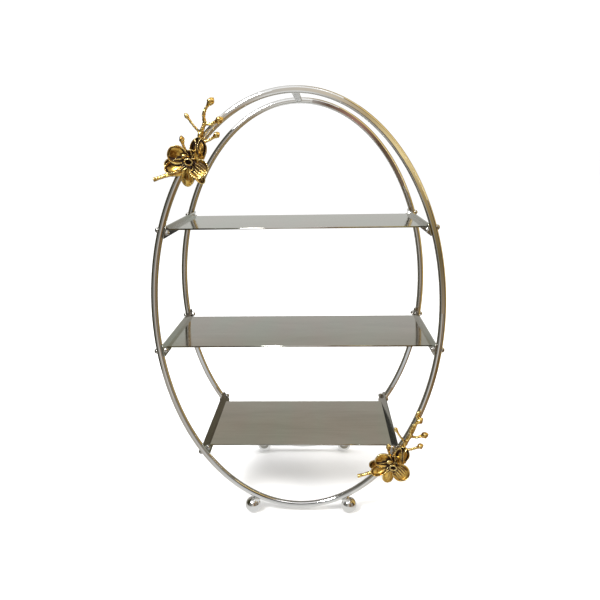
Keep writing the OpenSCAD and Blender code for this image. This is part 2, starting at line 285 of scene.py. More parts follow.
def satin_steel(name, tint=(0.62, 0.63, 0.62)):
    """Dull steel with a fine brushed grain."""
    m = Nodes(name)
    grain = m.noise(420, 4, 0.6, stretch=(5, 0.08, 1))
    cloud = m.noise(40, 3, 0.5)
    m.feed("Base Color", m.ramp(cloud, (0.3, dimmed(tint, 0.88)), (0.7, tint)))
    m.feed("Roughness", m.ramp(grain, (0.3, 0.24), (0.7, 0.36)))
    m.bump((grain, 0.000006))
    m.set(Metallic=1.0)
    return m.material


def antique_gold(name, wear_and_light_at=0.8, patina_and_light_at=0.42, blotch_and_light_tone=(0.34, 0.24, 0.16)):
    """Cast metal, gold on the high places, with dark brown patina in the hollows and in small blotches."""
    m = Nodes(name)
    hollow = m.add("ShaderNodeAttribute", attribute_name="hollow").outputs["Fac"]
    ridge = m.add("ShaderNodeAttribute", attribute_name="ridge").outputs["Fac"]
    cloud = m.noise(210, 5, 0.6)
    speckle = m.noise(1100, 4, 0.65)
    gold = m.ramp(
        m.mix(0.45, cloud, speckle),
        (0.34, (0.55, 0.27, 0.040)),
        (0.50, (0.84, 0.53, 0.11)),
        (0.64, (1.0, 0.78, 0.28)),
    )
    worn = m.mix(m.ramp(ridge, (0.15, 0.0), (wear_and_light_at, 1.0)), gold, (1.0, 0.86, 0.42))
    stain = m.mix(0.6, hollow, cloud, "OVERLAY")
    patina = m.ramp(stain, (0.12, 0.0), (patina_and_light_at, 1.0))
    blotch = m.ramp(m.noise(150, 3, 0.55, warp=0.4), (0.52, 1.0), (0.66, blotch_and_light_tone))
    aged = m.mix(1.0, worn, blotch, "MULTIPLY")
    m.feed("Base Color", m.mix(patina, aged, (0.030, 0.011, 0.004)))
    m.feed("Roughness", m.ramp(stain, (0.1, 0.22), (0.5, 0.5)))
    m.feed("Metallic", m.ramp(stain, (0.2, 1.0), (0.6, 0.5)))
    m.bump((cloud, 0.00030), (speckle, 0.00007))
    return m.material


hoop_chrome = chrome("hoop_chrome")
fixing_chrome = chrome("fixing_chrome", tint=(0.52, 0.51, 0.49), rough=(0.08, 0.18))
foot_chrome = chrome("foot_chrome", rough=(0.03, 0.08))
shelf_sheet = polished_sheet("shelf_sheet")
plate_sheet = polished_sheet("plate_sheet", tint=(0.60, 0.59, 0.56))
strap_satin = satin_steel("strap_satin")
stud_steel = satin_steel("stud_steel", tint=(0.55, 0.55, 0.54))
cast_gold = {
    "upper": antique_gold("cast_gold_upper"),
    # The lower spray's copy is lighter, with brighter edges, less patina and paler blotches: painted light
    # for the brighter light that falls on the lower spray.
    "lower": antique_gold("cast_gold_lower_painted_light", wear_and_light_at=0.6, patina_and_light_at=0.52, blotch_and_light_tone=(0.5, 0.4, 0.3)),
}


# ---------------------------------------------------------------- hoops and strap

HOOP_RINGS = 720
HOOP_SIDES = 56
STRAP_EDGE = 0.5 * MM


def build_hoop(name, hoop, node):
    """A round rod, swept round its oval."""
    to_back = Vector((0, 1, 0))
    rows = []
    for i in range(HOOP_RINGS):
        t = 2 * math.pi * i / HOOP_RINGS
        centre, out = hoop.point(t), hoop.normal(t)
        row = []
        for j in range(HOOP_SIDES):
            around = 2 * math.pi * j / HOOP_SIDES
            row.append(centre + hoop.rod * (math.cos(around) * out + math.sin(around) * to_back))
        rows.append(row)
    bm = bmesh.new()
    add_rings(bm, rows, closed=True)
    return finish_piece(make_object(name, bm), hoop_chrome, "hoop_chrome", node)


def build_strap():
    """A flat bar with softened edges, whose ends run into the rods that it is soldered to."""
    low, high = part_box("top_strap")
    bm = bmesh.new()
    bmesh.ops.create_cube(bm, size=1)
    size = Vector((high.x - low.x, back.y - front.y, high.z - low.z))
    for v in bm.verts:
        v.co = Vector((v.co.x * size.x, v.co.y * size.y + mid_y, v.co.z * size.z + (low.z + high.z) / 2))
    soften_edges(bm, STRAP_EDGE)
    piece = make_object("top_strap_bar", bm)
    flat_big_faces(piece)
    return finish_piece(piece, strap_satin, "strap_steel", "top_strap")


# ---------------------------------------------------------------- shelves and end plates

PLATE_CORNER = 2.5 * MM
CORNER_STEPS = 6
PLATE_EDGE = 0.25 * MM
SHELF_EDGE = 0.35 * MM


def rounded_rectangle(w, h, r):
    """A rectangle's outline about the origin, with its corners rounded to a radius."""
    x, y = w / 2 - r, h / 2 - r
    out = []
    for cx, cy, start in ((x, y, 0), (-x, y, 90), (-x, -y, 180), (x, -y, 270)):
        for k in range(CORNER_STEPS + 1):
            t = math.radians(start + 90 * k / CORNER_STEPS)
            out.append((cx + r * math.cos(t), cy + r * math.sin(t)))
    return out


def add_slab(bm, outline, thickness, place):
    """A closed slab from an outline in its own XY plane, centred on that plane."""
    rings = [[place @ Vector((x, y, z)) for x, y in outline] for z in (-thickness / 2, thickness / 2)]
    add_rings(bm, rings)


def build_shelf(level):
    """A sheet with softened edges, whose sloping ends meet the plates."""
    node = level + "_shelf"
    low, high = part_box(node)
    corners = [v.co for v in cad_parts[node].data.vertices]
    inner = max(c.x for c in corners if c.z < low.z + SHELF_EDGE)
    outer = max(c.x for c in corners if c.z > high.z - SHELF_EDGE)
    outline = ((-outer, high.z), (-inner, low.z), (inner, low.z), (outer, high.z))
    bm = bmesh.new()
    add_rings(bm, [[Vector((x, y, z)) for x, z in outline] for y in (low.y, high.y)])
    soften_edges(bm, SHELF_EDGE)
    piece = make_object(node + "_sheet", bm)
    flat_big_faces(piece)
    return finish_piece(piece, shelf_sheet, "shelf_steel", node)


def shelf_middle(level):
    low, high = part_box(level + "_shelf")
    return (low.z + high.z) / 2


def plate_size(level, side_name):
    """The plate's width along the hoop and its thickness, worked back from its leaning box."""
    low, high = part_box(f"{level}_{side_name}_plate")
    lean = front.normal(front.angle_at(1, shelf_middle(level)))
    c, s = abs(lean.x), abs(lean.z)
    across, up = high.x - low.x, high.z - low.z
    width = (up * c - across * s) / (c * c - s * s)
    thick = (across * c - up * s) / (c * c - s * s)
    return width, thick


def build_plate(level, side_name):
    """A thin plate with rounded corners, which lies on the inner faces of both rods."""
    side = SIDES[side_name]
    node = f"{level}_{side_name}_plate"
    low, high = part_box(node)
    width, thick = plate_size(level, side_name)
    out = front.normal(front.angle_at(side, shelf_middle(level)))
    place = frame_to(out, (low + high) / 2)
    bm = bmesh.new()
    add_slab(bm, rounded_rectangle(width, high.y - low.y, PLATE_CORNER), thick, place)
    soften_edges(bm, PLATE_EDGE, segments=2)
    piece = make_object(node + "_sheet", bm)
    flat_big_faces(piece)
    return finish_piece(piece, plate_sheet, "plate_steel", node)


# ---------------------------------------------------------------- screws and nuts

# A turned profile stops this close to its axis, and its end is a tiny flat
AXIS_R = 0.02 * MM
# The same for the end of a screw's shank
TIP_R = 0.001 * MM
CHAMFER = 0.3 * MM
HEAD_R = 2.7 * MM
# Heights of a head's rim and of its dome's centre, above the seat
HEAD_RIM_H = 1.9 * MM
HEAD_DOME_H = 1.15 * MM
SHANK_R = 1.5 * MM
NUT_R = 3.0 * MM
NUT_HEX_H = 2.2 * MM
NUT_H = 4.0 * MM
# Metal past the end of a cap nut's hole
NUT_END = 1.2 * MM
# Angle above which a nut's faces meet in a crisp edge
NUT_CREASE = math.radians(28)
# The plates touch the rods at their two long edges, and stand this far off them in the middle
PLATE_STANDOFF = 0.12 * MM


def screw_profile(seat, tip):
    """A domed head above its seat and a shank down to its tip. Heights run from the rod's centre line."""
    shank = [(TIP_R, tip), (SHANK_R - CHAMFER, tip), (SHANK_R, tip + CHAMFER), (SHANK_R, seat)]
    rim = [(HEAD_R - CHAMFER, seat), (HEAD_R, seat + CHAMFER), (HEAD_R, seat + HEAD_RIM_H)]
    dome = arc_points(seat + HEAD_DOME_H, HEAD_R, 24, 90, 9)
    return shank + rim + dome[:-1] + [(AXIS_R, dome[-1][1])]


def hex_trim(turn, radius, height):
    """Trims a turned nut to its six flats."""
    flat = NUT_R * math.cos(math.radians(30))
    off = (turn + math.radians(30)) % math.radians(60) - math.radians(30)
    return min(radius, flat / math.cos(off))


def nut_profile(seat):
    """A cap nut that rests on its seat and domes downwards."""
    dome_r = 0.84 * NUT_R
    base = seat - NUT_HEX_H
    dome = arc_points(seat - NUT_H + dome_r, dome_r, -5, -90, 10)
    hexagon = [
        (AXIS_R, seat),
        (NUT_R * 0.8, seat),
        (NUT_R, seat - 0.35 * MM),
        (NUT_R, base + 0.45 * MM),
        (NUT_R * 0.87, base),
    ]
    return hexagon + dome[:-1] + [(AXIS_R, dome[-1][1])]


def shelf_frames(level):
    """A frame on each rod at a shelf's four corners, with +Z pointing outwards."""
    z = shelf_middle(level)
    for side in (-1, 1):
        for hoop in (front, back):
            t = hoop.angle_at(side, z)
            yield frame_to(hoop.normal(t), hoop.point(t))


def plate_face(level):
    """Height of a plate's inner face, from the rod's centre line."""
    _, thick = plate_size(level, "left")
    return -front.rod - PLATE_STANDOFF - thick


def build_screws(level):
    """Four screws, whose heads sit in flats on the rods and whose tips end inside the cap nuts."""
    seat = math.sqrt(front.rod ** 2 - HEAD_R ** 2)
    tip = plate_face(level) - NUT_H + NUT_END
    bm = bmesh.new()
    for place in shelf_frames(level):
        add_lathe(bm, screw_profile(seat, tip), place)
    node = level + "_shelf_screws"
    return finish_piece(make_object(node + "_turned", bm), fixing_chrome, "screw_chrome", node)


def build_nuts(level):
    bm = bmesh.new()
    for place in shelf_frames(level):
        add_lathe(bm, nut_profile(plate_face(level)), place, steps=72, radius_at=hex_trim)
    node = level + "_shelf_nuts"
    piece = make_object(node + "_turned", bm)
    piece.data.set_sharp_from_angle(angle=NUT_CREASE)
    return finish_piece(piece, fixing_chrome, "nut_chrome", node)


# ---------------------------------------------------------------- ball feet

COLLAR_R = 4.5 * MM
# The collar's waist, as a share of its radius
WAIST = 0.93
# How far the collar runs into the rod
COLLAR_SINK = 1.2 * MM
# From the rod's centre line to the ball's centre
BALL_REACH = 13.2 * MM


def foot_angle(hoop, side, outer):
    """The hoop's angle where its normal meets a ball's centre line, which stands at x = outer."""
    t = math.radians(-90)
    for _ in range(40):
        miss = abs(outer) - abs(hoop.point(t).x) - abs(hoop.normal(t).x) * BALL_REACH
        t += side * miss / hoop.a
    return t


def foot_profile(r, start, distance):
    """A waisted collar from its start in the rod, and a ball of radius r at a distance along the normal."""
    neck = distance - math.sqrt(r * r - (COLLAR_R * WAIST) ** 2)
    collar = [
        (AXIS_R, start),
        (COLLAR_R * 0.9, start),
        (COLLAR_R, start + 0.4 * MM),
        (COLLAR_R, neck - 0.7 * MM),
        (COLLAR_R * WAIST, neck),
    ]
    return collar + arc_points(distance, r, -60, 89.5, 40)


def build_foot(row, side_name):
    """A ball with a waisted collar, leaning outwards along the hoop's normal and ground flat underneath."""
    hoop, side = hoops[row], SIDES[side_name]
    node = f"foot_{row}_{side_name}"
    low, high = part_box(node)
    r = (high.y - low.y) / 2
    outer = low.x + r if side < 0 else high.x - r
    t = foot_angle(hoop, side, outer)
    out, foot_point = hoop.normal(t), hoop.point(t)
    distance = (outer - foot_point.x) / out.x
    bm = bmesh.new()
    add_lathe(bm, foot_profile(r, hoop.rod - COLLAR_SINK, distance), frame_to(out, foot_point), steps=64)
    everything = bm.verts[:] + bm.edges[:] + bm.faces[:]
    bmesh.ops.bisect_plane(
        bm, geom=everything, plane_co=(0, 0, low.z), plane_no=(0, 0, -1), clear_outer=True
    )
    rim = [e for e in bm.edges if e.is_boundary]
    bmesh.ops.holes_fill(bm, edges=rim)
    return finish_piece(make_object(node + "_ball", bm), foot_chrome, "foot_chrome", node)


# ---------------------------------------------------------------- orchid sprays

# In a spray's own frame X runs to the right, Y up and Z towards the front, in millimetres.

# How far each stud stands to the right of its flower's centre
PAD_X = {"upper": -3.3, "lower": -0.3}
# How far each casting is turned clockwise, in degrees
TURN = {"upper": 0, "lower": 3.5}
# Cell size of the remesh that fuses a casting
VOXEL = 0.30 * MM
# No casting stands further forward than TOP_Z, and what would is pressed back between KNEE_Z and TOP_Z
KNEE_Z, TOP_Z = 9.0, 15.8


def spray_place(which):
    """From a spray's own frame to the stand's."""
    low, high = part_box(which + "_spray_stud")
    origin = Vector(((low.x + high.x) / 2 - PAD_X[which] * MM, front.y - front.rod, (low.z + high.z) / 2))
    upright = Matrix.Rotation(math.radians(90), 4, "X")
    turn = Matrix.Rotation(math.radians(-TURN[which]), 4, "Z")
    return Matrix.Translation(origin) @ upright @ turn @ Matrix.Scale(MM, 4)


# In millimetres, but the back rib's half width is a share of the petal's own
PETAL_HALF_T = 0.45
RIM_WIDTH = 2.0
GROOVE_HALF_W = 0.9
RIB_HEIGHT = 0.7
RIB_HALF_W = 0.14


def petal(**values):
    """A petal's shape in millimetres and degrees, with the usual values for what isn't given."""
    usual = dict(lift=0, twist=0, middle=0.6, claw=0.3, point=0.5, rim=0.9, ruffle=0.4, phase=0,
                 veins=6, vein_depth=0.22, groove=0.0, at=(0, 0, 6.5))
    return SimpleNamespace(**{**usual, **values})


def petal_half_width(shape, s):
    """Half the petal's width at s: a narrow claw that swells into a round blade."""
    if s > shape.middle:
        past = (s - shape.middle) / (1 - shape.middle)
        return shape.width / 2 * max(0, 1 - past ** 2) ** shape.point
    rise = math.sin(math.pi / 2 * s / shape.middle) ** 1.2
    return shape.width / 2 * (shape.claw + (1 - shape.claw) * rise)


def petal_point(shape, s, t, skin):
    """A point of a petal's skin, s along it and t across it from -1 to 1. skin is 1 in front, -1 behind."""
    half = petal_half_width(shape, s)
    full = shape.width / 2
    along = max(0, (s - shape.middle) / (1 - shape.middle))
    across = t * half / full
    dish = shape.cup * (across * across + along * along)
    gap = min((1 - abs(t)) * half, (1 - s) * shape.length * 0.9)
    edge = max(0, 1 - gap / RIM_WIDTH)
    wave = math.sin(4.4 * math.pi * s + 2.1 * t + shape.phase)
    ruffle = shape.ruffle * wave * t * t * s
    rim = shape.rim * math.sin(math.pi * edge) ** 2 if edge < 0.5 else shape.rim
    fan = math.cos(shape.veins * math.pi * t * (1.1 - 0.25 * s))
    vein = shape.vein_depth * fan * math.sin(math.pi * min(1, s * 1.1)) * (1 - edge)
    trough = math.exp(-((t * half) / GROOVE_HALF_W) ** 2)
    groove = shape.groove * trough * math.sin(math.pi * min(1, s * 1.05))
    back_rib = RIB_HEIGHT * math.exp(-(t / RIB_HALF_W) ** 2) * (1 - s)
    face = PETAL_HALF_T + rim + vein - groove
    height = dish + ruffle + (face if skin > 0 else -PETAL_HALF_T - back_rib)
    # A petal with no bend takes a very small one, because the curve divides by it
    bend = math.radians(shape.bend) or 0.02
    x = shape.length / bend * math.sin(bend * s)
    z = shape.length / bend * (1 - math.cos(bend * s))
    slope = bend * s
    return Vector((x - height * math.sin(slope), half * t, z + height * math.cos(slope)))


def add_petal(bm, shape, rows=34, cols=22):
    """A closed petal that points in a direction of the XY plane, lifted and turned about its length."""
    place = (
        Matrix.Translation(shape.at)
        @ Matrix.Rotation(math.radians(shape.direction), 4, "Z")
        @ Matrix.Rotation(-math.radians(shape.lift), 4, "Y")
        @ Matrix.Rotation(math.radians(shape.twist), 4, "X")
    )
    grid = {}
    for skin in (1, -1):
        for i in range(rows + 1):
            s = 0.02 + 0.975 * (1 - math.cos(math.pi * i / rows)) / 2
            for j in range(cols + 1):
                t = math.sin(math.pi * (j / cols - 0.5))
                grid[skin, i, j] = bm.verts.new(place @ petal_point(shape, s, t, skin))
    for i in range(rows):
        for j in range(cols):
            for skin in (1, -1):
                corners = ((i, j), (i + 1, j), (i + 1, j + 1), (i, j + 1))
                bm.faces.new([grid[(skin, *corner)] for corner in corners])
        for j in (0, cols):
            bm.faces.new((grid[1, i, j], grid[1, i + 1, j], grid[-1, i + 1, j], grid[-1, i, j]))
    for j in range(cols):
        for i in (0, rows):
            bm.faces.new((grid[1, i, j], grid[1, i, j + 1], grid[-1, i, j + 1], grid[-1, i, j]))


def past_end(end, neighbour):
    """A point as far past the end of a path as its neighbour is inside."""
    return [2 * a - b for a, b in zip(end, neighbour)]


def catmull_rom(a, b, c, d, u):
    """The value at u of the curve from b to c, with a before it and d after it."""
    square = 2 * a - 5 * b + 4 * c - d
    cube = 3 * b - a - 3 * c + d
    return 0.5 * (2 * b + (c - a) * u + square * u * u + cube * u ** 3)


def smooth_path(points, per=7):
    """A Catmull-Rom curve through points (x, y, z, radius)."""
    path = [past_end(points[0], points[1]), *points, past_end(points[-1], points[-2])]
    out = []
    for k in range(1, len(path) - 2):
        for step in range(per):
            values = zip(*path[k - 1:k + 3])
            out.append([catmull_rom(a, b, c, d, step / per) for a, b, c, d in values])
    out.append(list(points[-1]))
    return out


def add_limb(bm, points, sides=14, lobes=0, lobe_depth=0.0, lumps=0.12, per=7):
    """A closed twig or bud swept through points, lumpy as cast bark is, or lobed as a folded bud is."""
    path = smooth_path(points, per)
    spots = [Vector(p[:3]) for p in path]
    rings = []
    up = Vector((0, 0, 1))
    for k, (spot, p) in enumerate(zip(spots, path)):
        ahead = spots[min(k + 1, len(spots) - 1)] - spots[max(k - 1, 0)]
        ahead.normalize()
        side = ahead.cross(up).normalized()
        over = side.cross(ahead)
        ring = []
        for j in range(sides):
            around = 2 * math.pi * j / sides
            r = max(p[3], 0.12)
            r *= 1 + lobe_depth * abs(math.cos(lobes * around / 2 + 0.25 * k)) if lobes else 1
            lump = noise.noise(Vector((spot.x * 0.55, spot.y * 0.55, around * 1.3)))
            r *= 1 + lumps * lump
            ring.append(spot + r * (math.cos(around) * side + math.sin(around) * over))
        rings.append(ring)
    add_rings(bm, rings)


def bud_points(start, end, radius, neck):
    """A pointed bud's path: a stalk, a swelling and a tip."""
    a, b = Vector(start), Vector(end)
    stops = (
        (0, neck),
        (0.14, neck * 1.1),
        (0.30, radius * 0.74),
        (0.50, radius),
        (0.72, radius * 0.84),
        (0.90, radius * 0.46),
        (1, 0.2),
    )
    return [(*(a.lerp(b, s)), r) for s, r in stops]


def fuse(name, bm):
    """Fuses overlapping closed forms into one cast skin, then gives it the casting's small unevenness."""
    reach = max(v.co.z for v in bm.verts)
    for v in bm.verts:
        if v.co.z > KNEE_Z and reach > TOP_Z:
            v.co.z = KNEE_Z + (v.co.z - KNEE_Z) * (TOP_Z - KNEE_Z) / (reach - KNEE_Z)
        v.co *= MM
    rough = make_object(name + "_rough", bm)
    remesh = rough.modifiers.new("fuse", "REMESH")
    remesh.mode = "VOXEL"
    remesh.voxel_size = VOXEL
    remesh.adaptivity = 0
    relax = rough.modifiers.new("relax", "SMOOTH")
    relax.factor = 0.5
    relax.iterations = 3
    graph = bpy.context.evaluated_depsgraph_get()
    mesh = bpy.data.meshes.new_from_object(rough.evaluated_get(graph))
    bpy.data.objects.remove(rough)
    keep_largest(mesh)
    normals = [v.normal.copy() for v in mesh.vertices]
    for v, normal in zip(mesh.vertices, normals):
        grain = 0.06 * noise.fractal(v.co / MM * 0.9, 1.0, 2.0, 3)
        v.co += normal * grain * MM
    mesh.update()
    mesh.name = name
    mark_ridges(mesh)
    shade_hollows(mesh)
    return mesh


def keep_largest(mesh):
    """Drops any loose crumb or closed inner pocket that the fusing leaves."""
    bm = bmesh.new()
    bm.from_mesh(mesh)
    seen, groups = set(), []
    for first in bm.verts:
        if first in seen:
            continue
        group, open_ends = [first], [first]
        seen.add(first)
        while open_ends:
            here = open_ends.pop()
            for edge in here.link_edges:
                other = edge.other_vert(here)
                if other not in seen:
                    seen.add(other)
                    group.append(other)
                    open_ends.append(other)
        groups.append(group)
    groups.sort(key=len)
    for group in groups[:-1]:
        bmesh.ops.delete(bm, geom=group, context="VERTS")
    bm.to_mesh(mesh)
    bm.free()


def store(mesh, name, values):
    """Keeps a value for each point, which the gold's material reads by its name."""
    layer = mesh.attributes.new(name, "FLOAT", "POINT")
    layer.data.foreach_set("value", values)


SMOOTHING_ROUNDS = 12
FULL_RIDGE = 0.16 * MM
HOLLOW_REACH = 5 * MM
# How far off the skin the rays start, so that they don't hit the point's own faces
RAY_START = 0.15 * MM
HOLLOW_GAIN = 1.9


def mark_ridges(mesh):
    """Stores how far each point stands proud of its smoothed surroundings, for the worn bright edges."""
    count = len(mesh.vertices)
    start = np.empty(count * 3)
    mesh.vertices.foreach_get("co", start)
    start = start.reshape(-1, 3)
    ends = np.empty(len(mesh.edges) * 2, dtype=np.int64)
    mesh.edges.foreach_get("vertices", ends)
    a, b = ends.reshape(-1, 2).T
    links = np.bincount(a, minlength=count) + np.bincount(b, minlength=count)
    smooth = start
    for _ in range(SMOOTHING_ROUNDS):
        total = np.empty_like(start)
        for axis in range(3):
            total[:, axis] = np.bincount(a, smooth[b, axis], count)
            total[:, axis] += np.bincount(b, smooth[a, axis], count)
        smooth = 0.5 * smooth + 0.5 * total / links[:, None]
    normals = np.array([v.normal for v in mesh.vertices])
    proud = ((start - smooth) * normals).sum(axis=1)
    store(mesh, "ridge", np.clip(proud / FULL_RIDGE, 0, 1))


def shade_hollows(mesh):
    """Stores how hidden each point is, from 0 in the open to 1 in a deep hollow, for the patina."""
    rays = 26
    draw = random.Random(7)
    directions = []
    while len(directions) < rays:
        d = Vector((draw.uniform(-1, 1), draw.uniform(-1, 1), draw.uniform(0, 1)))
        if 0.1 < d.length < 1:
            directions.append(d.normalized())
    tree = BVHTree.FromPolygons([v.co for v in mesh.vertices], [p.vertices for p in mesh.polygons])
    values = []
    for v in mesh.vertices:
        turn = v.normal.to_track_quat("Z", "Y").to_matrix()
        start = v.co + v.normal * RAY_START
        blocked = 0.0
        for d in directions:
            distance = tree.ray_cast(start, turn @ d, HOLLOW_REACH)[3]
            if distance is not None:
                blocked += 1 - distance / HOLLOW_REACH
        values.append(min(1, HOLLOW_GAIN * blocked / rays))
    store(mesh, "hollow", values)


FLOWER_PETALS = (
    # the round cup at the upper left
    petal(direction=150, lift=10, twist=-4, length=22, width=18, cup=2.2, bend=6, middle=0.58, veins=5,
          rim=1.3),
    # the long fold at the left, and the lobe behind it
    petal(direction=206, lift=6, twist=18, length=25, width=12, cup=4.0, bend=6, middle=0.66, claw=0.5,
          veins=2, rim=1.5, ruffle=0.2),
    petal(direction=188, lift=-6, length=24.5, width=12, cup=2.4, bend=4, veins=4, rim=1.0, at=(0, 0, 5.0)),
    # the grooved tongue at the bottom
    petal(direction=262, lift=1, twist=-8, length=25, width=14, cup=-2.2, bend=-8, middle=0.55, claw=0.55,
          veins=2, vein_depth=0.5, groove=0.8, rim=0.6, ruffle=0.9),
    # the cup at the right
    petal(direction=320, lift=7, twist=-8, length=22.5, width=18.5, cup=2.6, bend=8, middle=0.58, veins=8,
          vein_depth=0.4, rim=1.5, phase=1.1),
    # the small petal at the lower right, which lies behind the others
    petal(direction=299, lift=-8, length=25, width=10, cup=1.2, bend=-4, veins=3, ruffle=0.3,
          at=(0, 0, 5.0)),
    # two short petals behind the column
    petal(direction=62, lift=4, length=11.5, width=10, cup=1.2, bend=8, veins=3, ruffle=0.2,
          at=(0, 0, 5.2)),
    petal(direction=104, lift=2, length=10.5, width=9, cup=1.2, bend=4, veins=3, ruffle=0.2,
          at=(0, 0, 5.0)),
    # the lip's two lobes under the column
    petal(direction=232, lift=24, length=9, width=5, cup=1, bend=-24, veins=1, ruffle=0.1,
          at=(-0.5, -1, 8)),
    petal(direction=285, lift=22, length=9, width=4.5, cup=1, bend=-24, veins=1, ruffle=0.1,
          at=(0.8, -1, 8)),
)


def uneven(turn, radius, height):
    """Makes a turned form slightly out of round, as a casting is."""
    return radius * (1 + 0.10 * math.cos(2 * turn + 0.6) + 0.04 * math.cos(5 * turn))


def flower_mesh():
    bm = bmesh.new()
    for shape in FLOWER_PETALS:
        add_petal(bm, shape)
    # the column: a short trumpet whose mouth is open to the front
    tilt = Matrix.Translation((0.6, 0.2, 4.6)) @ Matrix.Rotation(math.radians(8), 4, "X")
    outside = [(0.05, 0), (3.0, 0), (2.7, 3), (3.0, 6), (3.6, 8.6), (3.9, 9.9), (3.5, 10.6)]
    inside = [(2.7, 10.3), (2.0, 8.4), (1.4, 6.0), (0.05, 5.6)]
    add_lathe(bm, outside + inside, tilt, steps=40, radius_at=uneven)
    # the side lobe that leans on the column
    lobe = [(-1.0, 2.0, 9, 1.6), (-3.0, 3.6, 11, 2.2), (-4.6, 4.6, 11.4, 1.9), (-6.0, 5.2, 10.6, 0.7)]
    add_limb(bm, lobe, lobes=2, lobe_depth=0.2)
    return fuse("orchid_flower", bm)


# The way that the half-open bloom points, and where its petals grow from
BLOOM_AXIS = 84
BLOOM_ROOT = (8.4, 0.2, 6.2)
# Each petal's shift from that root, and its shape: the wide outer petal behind, one at each side, and the
# light inner one in front
BLOOM_PETALS = (
    ((0, 0, -2.4), dict(direction=BLOOM_AXIS, length=22, width=16, cup=3.6, rim=1.1, point=0.7)),
    ((3.0, 0, 0), dict(direction=BLOOM_AXIS + 10, lift=3, twist=44, length=20.5, width=10.5, cup=3.2, rim=1.2,
                       point=0.8)),
    ((-3.4, 0, 0), dict(direction=BLOOM_AXIS - 10, lift=3, twist=-46, length=20, width=10.5, cup=3.2, rim=1.2,
                        point=0.8)),
    ((-0.4, 2.0, 2.8), dict(direction=BLOOM_AXIS - 9, lift=3, length=16.5, width=9.5, cup=-2.6, rim=0.3,
                            point=0.8)),
)


def bloom_mesh():
    """A half-open bloom: petals that stand round a lighter inner one, on a short neck."""
    bm = bmesh.new()
    for shift, values in BLOOM_PETALS:
        spot = tuple(a + b for a, b in zip(BLOOM_ROOT, shift))
        shape = petal(**values, bend=5, middle=0.52, claw=0.45, veins=4, ruffle=0.25, at=spot)
        add_petal(bm, shape, rows=26, cols=18)
    core = [
        (8.2, -2.5, 5.6, 1.8),
        (8.5, 1.0, 6.0, 3.4),
        (9.0, 5.0, 6.8, 4.0),
        (9.8, 12, 6.8, 3.2),
        (10.4, 17.5, 6.6, 1.4),
    ]
    add_limb(bm, core, lobes=3, lobe_depth=0.16, sides=24)
    return fuse("orchid_bloom", bm)


# The twigs' radii are given one by one and then thickened together
TWIG_SCALE = 1.28


def add_twig(bm, *points):
    thick = [(x, y, z, r * TWIG_SCALE) for x, y, z, r in points]
    add_limb(bm, thick, lumps=0.34, per=9)


def add_bud(bm, start, end, radius, neck):
    add_limb(bm, bud_points(start, end, radius, neck), lobes=3, lobe_depth=0.18, sides=18, lumps=0.06)


def add_branch(bm):
    """The stem and its side twigs with their buds, through listed points (x, y, z, radius)."""
    fork = (17, 34, 7)
    add_twig(
        bm,
        (-35.5, -17.2, 6, 1.75),
        (-33, -16.6, 6, 1.5),
        (-26, -14.4, 5.4, 1.45),
        (-20, -12.6, 5, 1.7),
        (-10, -12, 4.5, 1.7),
        (-3, -6.5, 4.4, 1.7),
        (4, 4, 4.5, 1.7),
        (8, 12, 4.8, 1.7),
        (11, 21, 5.5, 1.7),
        (12.4, 25, 5.9, 2.0),
        (14.6, 29.5, 6.4, 1.5),
        (*fork, 1.75),
    )
    # the top twig
    add_twig(bm, (*fork, 1.6), (16.4, 38, 7.5, 1.25), (16.6, 42, 8.1, 1.35), (18.4, 46, 8.7, 1.05),
             (20.4, 49, 9.1, 1.0))
    add_bud(bm, (20.2, 48.7, 9.1), (26.8, 56.2, 10.5), 3.1, neck=1.35)
    # the twig at the right of the fork
    add_twig(bm, (*fork, 1.5), (19.6, 33, 7.6, 1.2), (23, 33, 8, 1.1), (26.2, 34.4, 8.5, 1.05))
    add_bud(bm, (26, 34.3, 8.5), (34.8, 38.0, 9), 3.1, neck=1.35)
    # the thin twig at the left, and the knot opposite it
    add_twig(bm, (12.6, 24.8, 6, 1.3), (9, 28.6, 6.9, 0.95), (5.8, 32.6, 7.5, 0.85), (2.4, 37.6, 8, 0.9))
    add_bud(bm, (2.8, 37, 8), (-1.2, 43.2, 8.6), 2.0, neck=1.05)
    add_twig(bm, (10.6, 25.2, 6, 0.8), (11.6, 24.2, 6, 1.2), (12.4, 23.6, 5.8, 1.2))
    # the low twig at the right
    add_twig(bm, (9.6, 16.6, 5, 1.5), (14, 16.8, 5.8, 1.3), (19, 18.2, 6.7, 1.05), (24.2, 20.8, 7.5, 1.1))
    add_bud(bm, (24, 20.7, 7.5), (30.6, 25.2, 8.5), 2.8, neck=1.35)
    # the short twig beside the flower
    add_twig(bm, (-0.5, 4, 4.5, 1.3), (-3, 9.5, 5.6, 1.05), (-4.8, 15, 6.9, 1.0))
    add_bud(bm, (-4.7, 14.6, 6.9), (-6, 23.4, 7.5), 2.4, neck=1.2)


def branch_mesh(which):
    bm = bmesh.new()
    add_branch(bm)
    if which == "lower":
        # the twiglet that runs beside the hoop
        add_twig(bm, (15.4, 31, 6.6, 1.2), (19.5, 38, 4.6, 1.0), (21.8, 44, 3.4, 0.9), (22.6, 51, 2.8, 0.9))
        add_bud(bm, (22.5, 50, 2.8), (23, 60.6, 3.4), 2.2, neck=0.9)
    # the pad that rests on the stud's collar
    pad = [(0.05, 2), (3.8, 2), (4.1, 2.4), (4.0, 4.0), (3.0, 5.6), (0.05, 6.2)]
    add_lathe(bm, pad, Matrix.Translation((PAD_X[which], 0, 0)), steps=32)
    return fuse(which + "_orchid_branch", bm)


def place_casting(name, mesh, which, node):
    """Puts a copy of a casting, whose mesh is in metres, at its spray."""
    piece = bpy.data.objects.new(name, mesh.copy())
    piece.data.transform(Matrix.Scale(1 / MM, 4))
    piece.data.transform(spray_place(which))
    piece.data.polygons.foreach_set("use_smooth", [True] * len(piece.data.polygons))
    bpy.context.scene.collection.objects.link(piece)
    return finish_piece(piece, cast_gold[which], "cast_gold", node)


